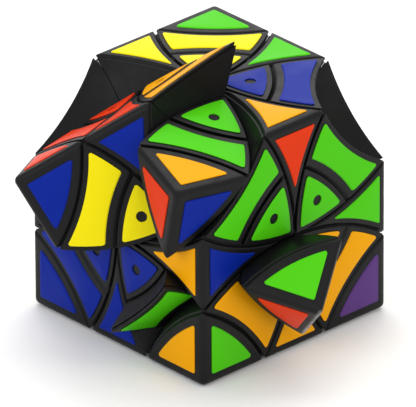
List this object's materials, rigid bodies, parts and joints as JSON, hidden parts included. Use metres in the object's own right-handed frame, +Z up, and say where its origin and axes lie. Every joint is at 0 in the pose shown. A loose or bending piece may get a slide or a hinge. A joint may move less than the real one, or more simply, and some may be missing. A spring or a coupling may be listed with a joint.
{
  "type": "edge-turning puzzle cube",
  "caption": "Cube puzzle with curved cuts that turns about its edges, stored scrambled with one edge group part turned and two pieces standing out of the faces.",
  "frame": {"origin": "on the floor under the cube's core, where the rotation axes' meeting point projects", "axes": "+Z up, +X out of the right-hand visible face, -Y out of the left-hand visible face"},
  "size_m": [0.0872, 0.0838, 0.0803],
  "materials": {
    "plastic": "satin black",
    "core_plastic": "matt black",
    "steel": "plated",
    "sticker_green": "vinyl",
    "sticker_yellow": "vinyl",
    "sticker_amber": "vinyl",
    "sticker_red": "vinyl",
    "sticker_blue": "vinyl",
    "sticker_purple": "vinyl"
  },
  "bodies": {
    "frame": {"core_spider": "core_plastic", "screws": "steel", "washers": "steel", "springs": "steel", "edge_top_back": "plastic", "edge_bottom_front": "plastic", "edge_bottom_back": "plastic", "edge_top_right": "plastic", "edge_top_left": "plastic", "edge_bottom_left": "plastic", "edge_front_right": "plastic", "edge_front_left": "plastic", "edge_back_right": "plastic", "corner_bottom_front_left": "plastic", "hubs_frame": "core_plastic", "bands_frame": "plastic", "eyes_frame": "plastic", "stickers_frame": "sticker_green"},
    "front": {"edge_top_front": "plastic", "corner_top_front_left": "plastic", "corner_front_displaced": "plastic", "hubs_front": "core_plastic", "bands_front": "plastic", "eyes_front": "plastic", "stickers_front": "sticker_yellow"},
    "back": {"edge_back_left": "plastic", "corner_top_back_left": "plastic", "corner_bottom_back_left": "plastic", "hubs_back": "core_plastic", "bands_back": "plastic", "eyes_back": "plastic", "stickers_back": "sticker_purple"},
    "right": {"edge_bottom_right": "plastic", "corner_bottom_front_right": "plastic", "corner_bottom_back_right": "plastic", "corner_right_displaced": "plastic", "hubs_right": "core_plastic", "bands_right": "plastic", "eyes_right": "plastic", "stickers_right": "sticker_amber"}
  },
  "joints": [
    {"name": "front_turn", "type": "hinge", "parent": "frame", "child": "front", "pos_m": [0, 0, 0.0333], "axis": [0, -0.7071, 0.7071], "continuous": true},
    {"name": "back_turn", "type": "hinge", "parent": "frame", "child": "back", "pos_m": [0, 0, 0.0333], "axis": [-0.7071, 0.7071, 0], "continuous": true},
    {"name": "right_turn", "type": "hinge", "parent": "frame", "child": "right", "pos_m": [0, 0, 0.0333], "axis": [0.7071, 0, -0.7071], "continuous": true}
  ]
}
